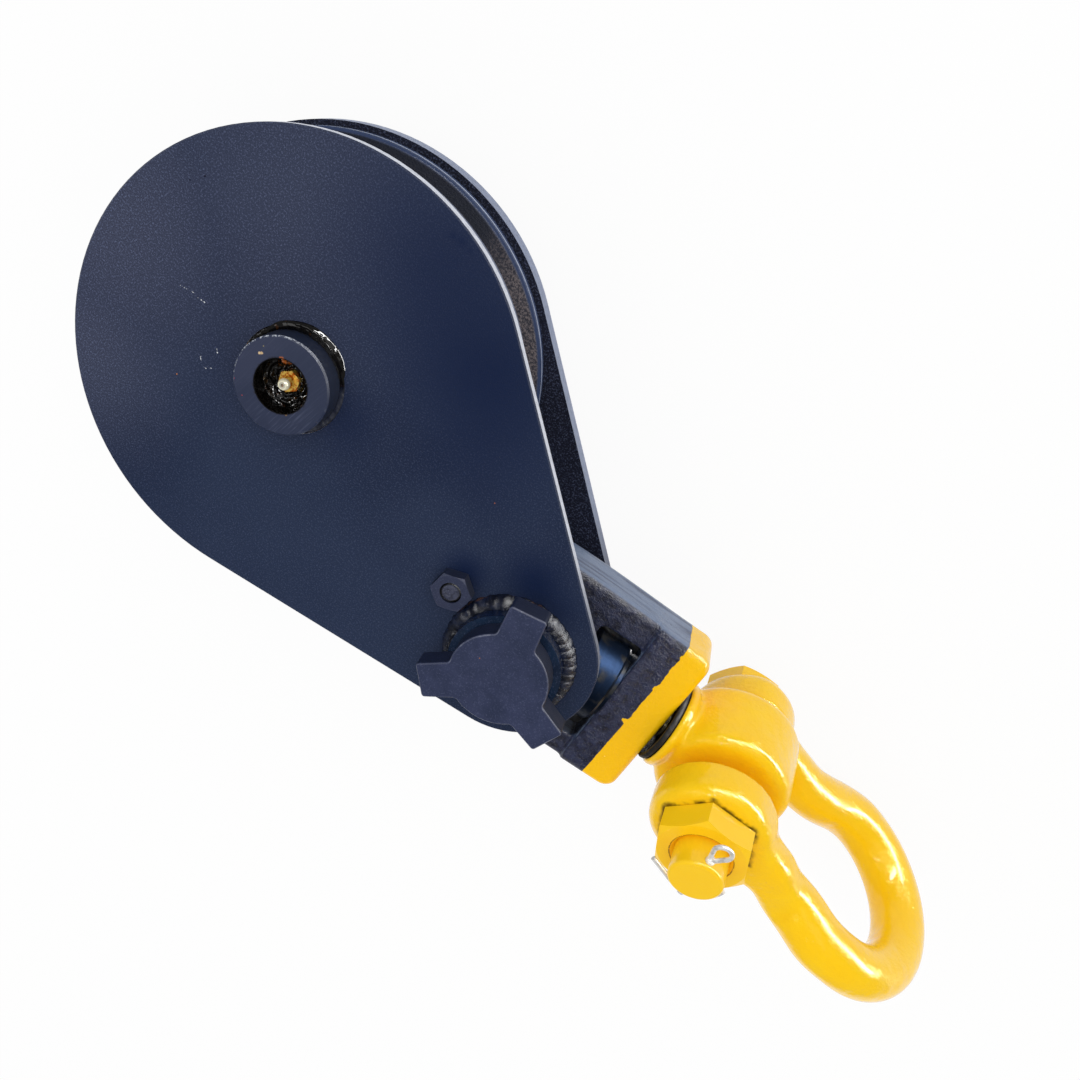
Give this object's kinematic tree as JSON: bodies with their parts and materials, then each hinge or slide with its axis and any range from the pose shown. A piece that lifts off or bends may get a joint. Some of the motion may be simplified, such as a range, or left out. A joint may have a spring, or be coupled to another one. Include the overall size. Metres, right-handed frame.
{
  "type": "snatch block",
  "caption": "Side-opening rope block: grooved sheave between two pear-shaped plates, centre pin, lobed pin in a trunnion, yoke, swivel eye and bow shackle with bolt, nut and split pin.",
  "frame": {"origin": "centre of the sheave, on its axis and midway between its faces", "axes": "+Z along the sheave's axis, out through the side plate that opens; +X from the centre pin to the trunnion and the shackle"},
  "size_m": [0.6552, 0.26, 0.1669],
  "materials": {
    "navy_paint": "sprayed navy enamel with a fine texture",
    "painted_weld": "glossy dark paint over a rippled weld",
    "two_colour_paint": "rough navy enamel, yellow enamel over the end",
    "yellow_paint": "thick glossy yellow enamel",
    "machined_steel": "turned steel",
    "plated_steel": "zinc-plated steel",
    "bronze": "bearing bronze",
    "brass_fitting": "yellow-passivated steel hexagon with a pale ball head"
  },
  "bodies": {
    "frame": {"fixed_side_plate": "navy_paint", "center_pin": "machined_steel", "grease_fitting": "brass_fitting", "pin_keeper": "navy_paint", "keeper_bolts": "plated_steel", "thrust_washer_fixed_side": "bronze", "thrust_washer_opening_side": "bronze", "trunnion": "machined_steel", "fixed_hub": "navy_paint", "fixed_hub_weld": "painted_weld", "yoke_washer_fixed_side": "machined_steel", "yoke_washer_opening_side": "machined_steel"},
    "sheave": {"sheave": "navy_paint", "sheave_bushing": "bronze"},
    "opening_side": {"opening_side_plate": "navy_paint", "opening_hub": "navy_paint", "opening_hub_weld": "painted_weld", "retaining_bolt": "navy_paint", "retaining_nut": "navy_paint"},
    "lug_pin": {"lug_pin": "navy_paint"},
    "yoke": {"yoke": "two_colour_paint", "yoke_bushing": "bronze"},
    "swivel": {"swivel_eye": "yellow_paint", "swivel_nut": "machined_steel", "swivel_nut_pin": "machined_steel", "swivel_washer": "machined_steel"},
    "shackle": {"shackle_bow": "yellow_paint"},
    "shackle_bolt": {"shackle_bolt": "yellow_paint", "shackle_nut": "yellow_paint", "cotter_pin": "plated_steel"}
  },
  "joints": [
    {"name": "sheave_spin", "type": "hinge", "parent": "frame", "child": "sheave", "pos_m": [0, 0, 0], "axis": [0, 0, 1], "continuous": true},
    {"name": "side_plate_lift", "type": "slide", "parent": "frame", "child": "opening_side", "axis": [0, 0, 1], "range_m": [0, 0.06]},
    {"name": "lug_pin_turn", "type": "hinge", "parent": "opening_side", "child": "lug_pin", "pos_m": [0.198, 0, 0], "axis": [0, 0, 1], "continuous": true},
    {"name": "yoke_tilt", "type": "hinge", "parent": "frame", "child": "yoke", "pos_m": [0.198, 0, -0.0015], "axis": [0, 0, 1], "range_deg": [-81.2, 38.8]},
    {"name": "swivel_turn", "type": "hinge", "parent": "yoke", "child": "swivel", "pos_m": [0.198, 0, -0.0015], "axis": [0.9323, 0.3616, 0], "continuous": true},
    {"name": "shackle_swing", "type": "hinge", "parent": "swivel", "child": "shackle", "pos_m": [0.33971, 0.0536, 0.00359], "axis": [0.0875, -0.2255, 0.9703], "range_deg": [-85.7, 114.3]},
    {"name": "shackle_bolt_turn", "type": "hinge", "parent": "shackle", "child": "shackle_bolt", "pos_m": [0.33971, 0.0536, 0.00359], "axis": [0.0875, -0.2255, 0.9703], "continuous": true}
  ]
}
